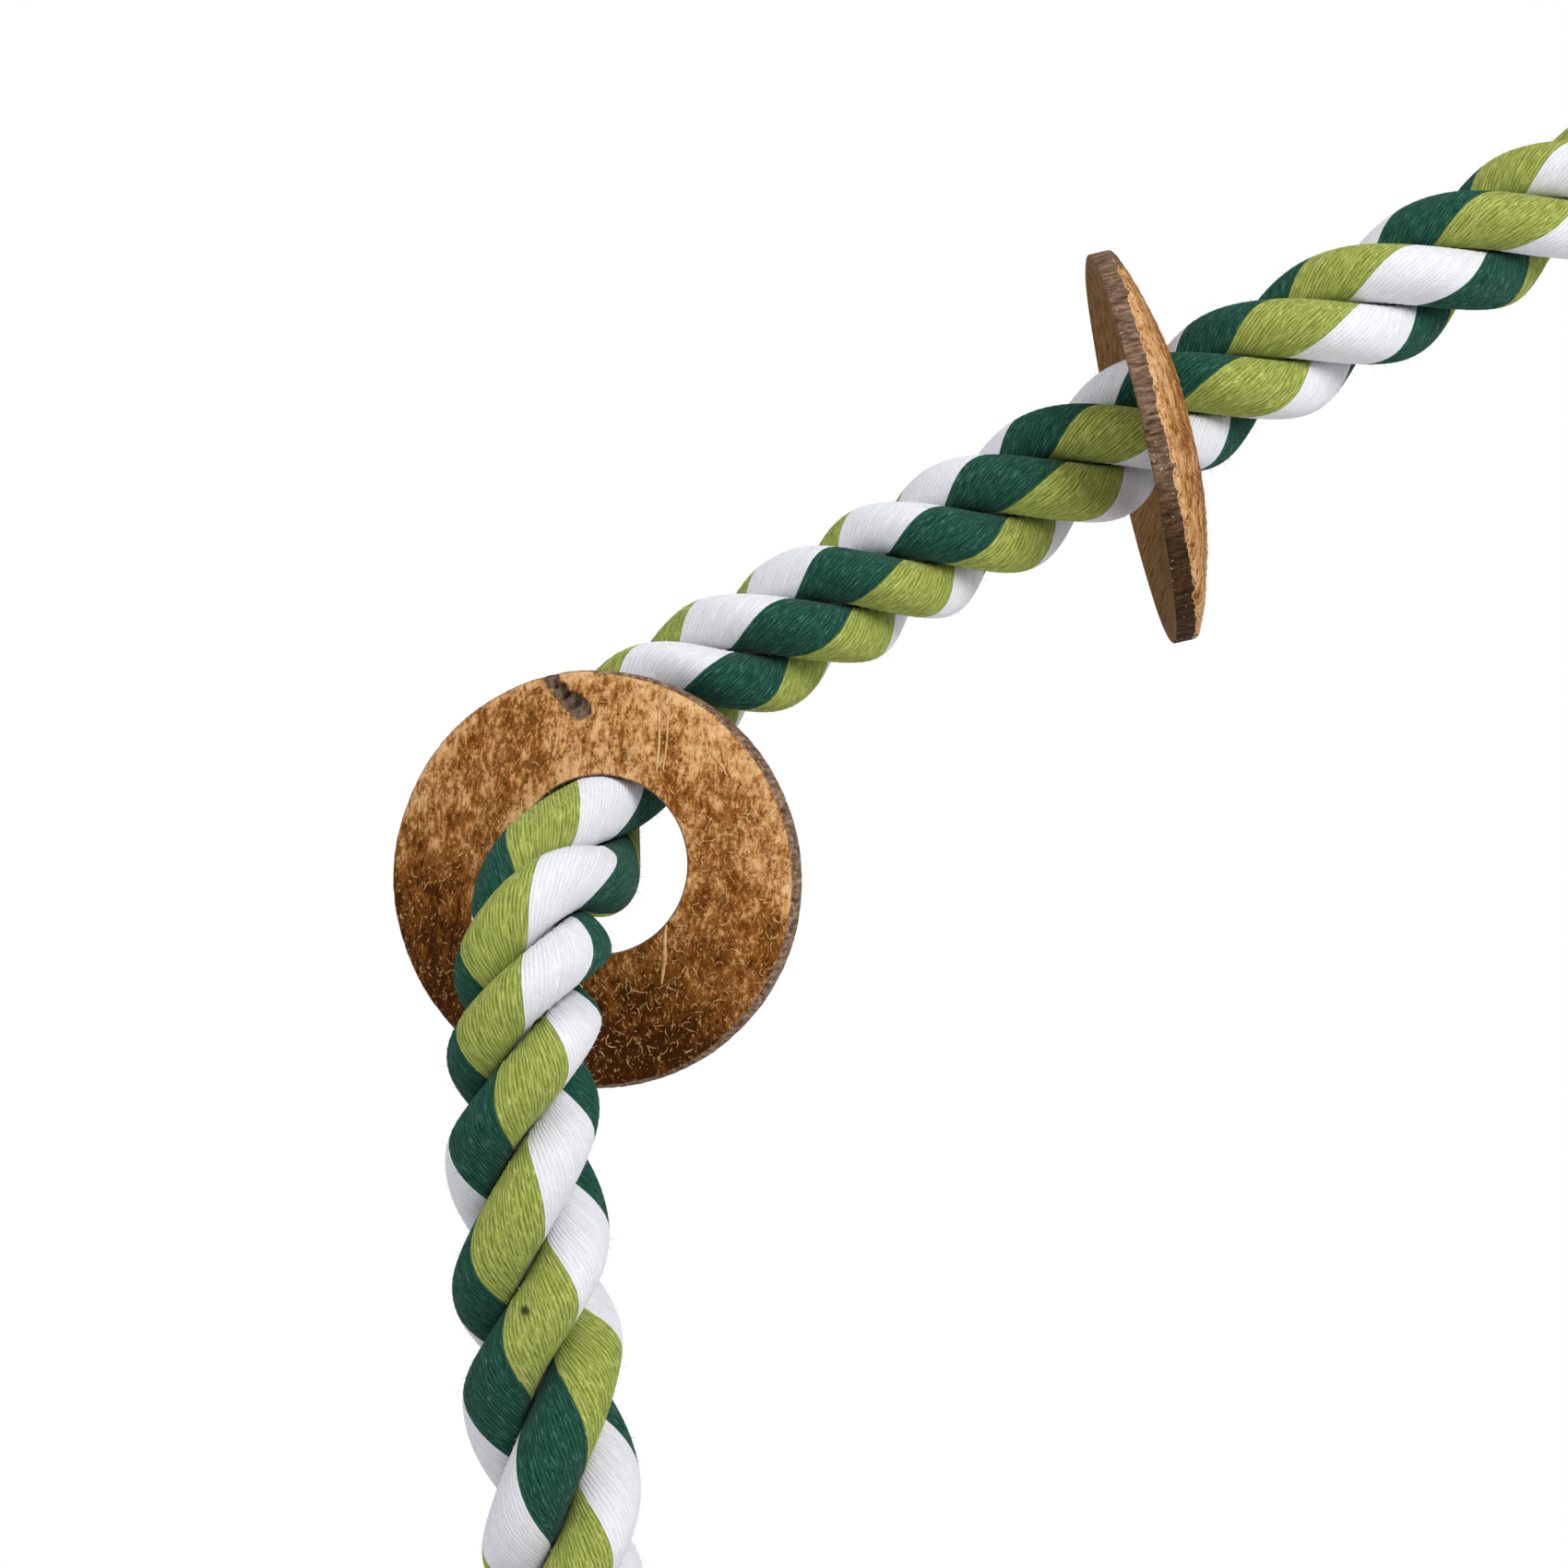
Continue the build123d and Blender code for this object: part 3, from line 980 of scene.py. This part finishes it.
def disc_piece(name, look, material):
    """One coconut-shell disc, with its relief, its torn edge and its chips."""
    saw_depth = 0.06 * MM
    saw_size = 0.7 * MM
    saw_stretch = np.array([1.0, 1.0, 0.25])
    torn_from = 0.95
    chip_ragged_mm = 0.35
    chip_ragged_size = 0.9 * MM
    chip_bottom = 0.72
    bare_reach = 0.06
    seed = look["seed"]
    share, from_end, outer_share, raised, sawn = disc_profile().T
    spoke = even_angles(disc_spokes)
    heading = np.stack([np.cos(spoke), np.sin(spoke)], -1)
    points, distance = plain_disc(look, heading, share, from_end, outer_share, raised)

    on_husk = smooth_step(outer_share, 0.75, 1.0) * np.ones_like(distance)
    points[..., 2] += husk_relief * (0.5 * husk_bumps(points, seed) - 0.5) * on_husk
    saw = noise_at(points * saw_stretch, saw_size, seed + 2)
    points[..., :2] -= (saw_depth * (1 + saw) * sawn * share)[..., None] * heading[:, None]
    torn = look["torn"] * husk_tears(points, seed) * on_husk * smooth_step(share, torn_from, 1.0)
    points[..., :2] -= torn[..., None] * heading[:, None]
    chip = np.zeros_like(distance)
    for x_mm, y_mm, size_mm, depth_mm in look["chips_mm"]:
        away = lengths_of(points[..., :2] / MM - (x_mm, y_mm))
        away += chip_ragged_mm * noise_at(points, chip_ragged_size, seed + 3)
        dent = 1 - smooth_step(away, chip_bottom * size_mm, size_mm)
        points[..., 2] -= depth_mm * MM * dent * on_husk
        chip = np.maximum(chip, dent * on_husk)

    # The husk's wear with the painted shadow of the rope, and the rim's tone with painted shade towards
    # its bottom.
    wear_and_painted_shade, rim_tone_and_painted_shade = disc_wear_and_painted_shade(points, share, distance, look["even_wear_and_rim_shade"])
    # On the disc's right the rim's bare wood reaches over the edge.
    over_edge = bare_reach * look["bare"] * np.maximum(heading[:, :1], 0)
    bare_wood = np.maximum(sawn, (share > 1 - over_edge) * on_husk)
    husk = outer_share - look["bare"] * bare_wood
    values = {"husk": husk, "sawn": bare_wood, "wear_and_painted_shade": wear_and_painted_shade, "chip": chip, "rim_tone_and_painted_shade": rim_tone_and_painted_shade}
    faces = grid_faces(disc_spokes, len(share), close_rows=True).tolist()
    piece = new_piece(name, points.reshape(-1, 3), faces, material, values=values)
    piece.matrix_world = disc_matrix(look)
    return piece


def fibre_strip(path, width):
    """A thin rounded fibre along a path of points: its corner points and its faces."""
    sides = 5
    flatness = 0.6
    blunt_end = 0.15
    along = unit(np.gradient(path, axis=0))
    across = unit(np.cross(along, (0, 0, 1.0)))
    upward = np.cross(along, across)
    taper = np.sin(np.linspace(blunt_end, math.pi - blunt_end, len(path)))[:, None] ** 0.5
    rings = []
    for turn in even_angles(sides):
        rings.append(path + width / 2 * taper * turned_from(across, flatness * upward, turn))
    return np.stack(rings, 1).reshape(-1, 3), tube_faces(len(path), sides)


def short_fibres(count, hole_offset):
    """Curled fibres, most of them on the lower right, each a flat path, a lift and a width."""
    start_margin = 1.5 * MM
    rim_margin = 0.8 * MM
    hole_margin = 0.6 * MM
    upper_share = 0.25
    bend_spread = 1.2
    sizes_mm = (0.4, 1.8)
    widths_mm = (0.09, 0.17)
    least_lift_mm = 0.02
    most_arch_mm = 0.12
    points_each = 9
    share = np.linspace(0, 1, points_each)
    fibres = []
    made = 0
    while made < count:
        reach = random.uniform(hole_r + start_margin, disc_r - start_margin)
        spot = random.uniform(0, 2 * math.pi)
        start = reach * np.array([math.cos(spot), math.sin(spot)]) - hole_offset * reach / disc_r
        lower_right = smooth_step(0.6 * start[0] - start[1], -10 * MM, 18 * MM)
        if random.uniform() > upper_share + (1 - upper_share) * lower_right:
            continue
        made += 1
        heading = random.uniform(0, 2 * math.pi)
        bend = random.normal(0, bend_spread)
        size = random.uniform(*sizes_mm) * MM
        turn = heading + bend * share
        step = size / (points_each - 1) * np.stack([np.cos(turn), np.sin(turn)], -1)
        flat = start + np.cumsum(step, axis=0)
        past_rim = lengths_of(flat + hole_offset).max() > disc_r - rim_margin
        if past_rim or lengths_of(flat).min() < hole_r + hole_margin:
            continue
        arch_mm = most_arch_mm * np.sin(math.pi * share) * random.uniform(0, 1)
        lift = (least_lift_mm + arch_mm) * MM
        fibres.append((flat, lift, random.uniform(*widths_mm) * MM))
    return fibres


def long_fibres(rows_mm):
    """Nearly straight fibres that lie flat, in the same form."""
    sway_size = 0.10 * MM
    sways = 2.5
    lift = 0.02 * MM
    points_each = 24
    share = np.linspace(0, 1, points_each)[:, None]
    fibres = []
    for x_start, y_start, x_end, y_end, width_mm in rows_mm:
        flat = (np.array([x_start, y_start]) * (1 - share) + np.array([x_end, y_end]) * share) * MM
        length_mm = math.hypot(x_end - x_start, y_end - y_start)
        sway = np.array([y_end - y_start, x_start - x_end]) / length_mm
        flat += sway_size * np.sin(sways * math.pi * share) * sway
        fibres.append((flat, np.full(points_each, lift), width_mm * MM))
    return fibres


def husk_fibres(name, look, material):
    """The loose fibres on a disc's husk side, as one mesh."""
    points = []
    faces = []
    total = 0
    short = short_fibres(look["short_fibres"], look["hole_offset"])
    for flat, lift, width in short + long_fibres(look["long_fibres_mm"]):
        outer = shell_sides(flat + look["hole_offset"])[0]
        path = np.concatenate([flat, (outer + lift)[:, None]], -1)
        strip, strip_faces = fibre_strip(path, width)
        points.append(strip)
        faces += [[corner + total for corner in face] for face in strip_faces]
        total += len(strip)
    piece = new_piece(name, np.concatenate(points), faces, material)
    piece.matrix_world = disc_matrix(look)
    return piece


# Studs


def threaded_stud(name, end, axis, material):
    """A hex bolt: its head, then the shank with its rolled thread, then the slimmer lead-in."""
    turn = even_angles(stud_sides)
    flat_turn = (turn + math.pi / 6) % (math.pi / 3) - math.pi / 6
    hexagon = head_flats / 2 / np.cos(flat_turn)
    heights = np.arange(head_height, stud_tip - tip_trim, thread_pitch / rings_per_pitch)
    crest = np.where(heights < stud_lead_start, stud_r, stud_lead_r)
    crest = np.minimum(crest, stud_lead_r - (heights - stud_lead_end) * (heights > stud_lead_end))
    phase = (heights[:, None] / thread_pitch - turn[None, :] / (2 * math.pi)) % 1
    dip = smooth_step(np.abs(phase - 0.5), *thread_flank)
    start = smooth_step(heights, head_height, head_height + thread_pitch)
    shank = crest[:, None] - thread_depth * (dip * start[:, None])
    rows = [
        (np.minimum(hexagon, head_flats / 2), 0.0),
        (hexagon, head_chamfer),
        (hexagon, head_height),
        *zip(shank, heights),
    ]
    points = []
    for radius, height in rows:
        level = np.full(stud_sides, height)
        points.append(np.stack([radius * np.cos(turn), radius * np.sin(turn), level], -1))
    stud = new_piece(name, np.concatenate(points), tube_faces(len(rows), stud_sides), material)
    stud.matrix_world = facing(end, axis, Vector((0, 1, 0)))
    return stud


# Stage


def seen_rays(tree):
    """1 for rays that show the surround: from the camera, in gloss and through clear things."""
    path = add_node(tree, "ShaderNodeLightPath").outputs
    gloss = math_node("MAXIMUM", path["Is Glossy Ray"], path["Is Transmission Ray"])
    return math_node("MAXIMUM", path["Is Camera Ray"], gloss)


def blend_shaders(share, first, second, output):
    """Mixes two shaders by a share and sends the mix to the output node."""
    inputs = {0: share, 1: first.outputs[0], 2: second.outputs[0]}
    blend = add_node(share.id_data, "ShaderNodeMixShader", inputs)
    set_inputs(share.id_data.nodes[output], {"Surface": blend.outputs[0]})


def floor_material():
    """Pale matt floor that fades to the white surround away from the part."""
    fade_range = (0.12, 0.5)
    least_white = 0.4
    material, tree, shader = new_material("pale_floor")
    set_inputs(shader, {"Base Color": (0.86, 0.86, 0.86, 1), "Roughness": 0.9})
    white = add_node(tree, "ShaderNodeEmission")
    inputs = {0: object_place(tree)}
    away = add_node(tree, "ShaderNodeVectorMath", inputs, operation="LENGTH").outputs["Value"]
    white_share = times_plus(between(away, *fade_range), 1 - least_white, least_white)
    share = times(seen_rays(tree), white_share)
    blend_shaders(share, shader, white, "Material Output")
    return material


def white_surround():
    """A white world to the eye that lights the part only softly."""
    world = bpy.data.worlds.new("studio")
    bpy.context.scene.world = world
    world.use_nodes = True
    tree = world.node_tree
    ambient = tree.nodes["Background"]
    set_inputs(ambient, {"Color": (0.96, 0.98, 1.0, 1), "Strength": ambient_strength})
    surround = add_node(tree, "ShaderNodeBackground", {"Color": (1, 1, 1, 1)})
    blend_shaders(seen_rays(tree), ambient, surround, "World Output")


def lamp(name, place, target, size, power):
    """A round soft lamp that points at the target."""
    light = bpy.data.lights.new(name, "AREA")
    light.shape = "DISK"
    light.size = size
    light.energy = power
    holder = add_object(name, light)
    holder.location = place
    holder.rotation_euler = (target - place).to_track_quat("-Z", "Y").to_euler()


def white_stage():
    """A pale floor under the perch, a white surround, and soft studio light."""
    middle = (cad_low + cad_high) / 2
    floor_place = (middle.x, middle.y, cad_low.z - floor_drop)
    bpy.ops.mesh.primitive_plane_add(size=floor_size, location=floor_place)
    floor = bpy.context.object
    floor.name = "floor"
    floor.data.materials.append(floor_material())
    white_surround()
    lamp("key", middle + key_place, middle, key_size, key_power)
    lamp("fill", middle + fill_place, middle, fill_size, fill_power)


def front_camera():
    """The camera of the photograph."""
    camera = bpy.data.cameras.new("front")
    camera.sensor_width = sensor_width_mm
    camera.lens = sensor_width_mm * photo_focal_px / photo_side_px
    camera.clip_start = 0.01
    camera.clip_end = 50
    holder = add_object("front", camera)
    holder.location = camera_place
    holder.rotation_euler = (math.pi / 2, 0, 0)
    bpy.context.scene.camera = holder


def finish_node(name, material):
    """Gives a CAD node its finish."""
    materials = frame["nodes"][name].data.materials
    materials.clear()
    materials.append(material)


bpy.context.scene.view_settings.view_transform = "Standard"
front_camera()
white_stage()

zinc = zinc_material()
nylon = nylon_material()
for end in ("upper", "lower"):
    finish_node(end + "_end_cap", nylon)
    for piece_name in ("clamp_ring", "inner_washer", "outer_washer", "wing_nut"):
        finish_node(end + "_" + piece_name, zinc)
rope_ends = {"upper": (rope_top_end, upper_axis), "lower": (rope_low_end, lower_axis)}
for end, (end_place, end_axis) in rope_ends.items():
    stud = threaded_stud(end + "_threaded_stud", end_place, end_axis, zinc)
    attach(stud, "perch")
    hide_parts(end + "_stud")

rope, hairs, rope_line = rope_pieces(rope_material())
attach(rope, "perch")
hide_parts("rope")
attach(hairs, "perch")
sheath_material = core_material("core_sleeve", (0.72, 0.72, 0.69), metallic=0.0, roughness=0.4)
wire_material = core_material("core_drawn_wire", (0.5, 0.5, 0.5), metallic=1.0, roughness=0.3)
sheath = core_tube("core_sleeve", rope_line, core_sheath_r, core_wire_r + core_play, sheath_material)
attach(sheath, "perch")
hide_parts("core_sheath")
wire = core_tube("core_bent_wire", rope_line, core_wire_r, 0.0, wire_material)
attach(wire, "perch")
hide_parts("core_wire")

shell = disc_material()
fibre = fibre_material()
for side, look in (("left", left_look), ("right", right_look)):
    disc = disc_piece(side + "_shell_disc", look, shell)
    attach(disc, side + "_disc")
    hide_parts("disc_" + side)
    fibres = husk_fibres(side + "_husk_fibres", look, fibre)
    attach(fibres, side + "_disc")
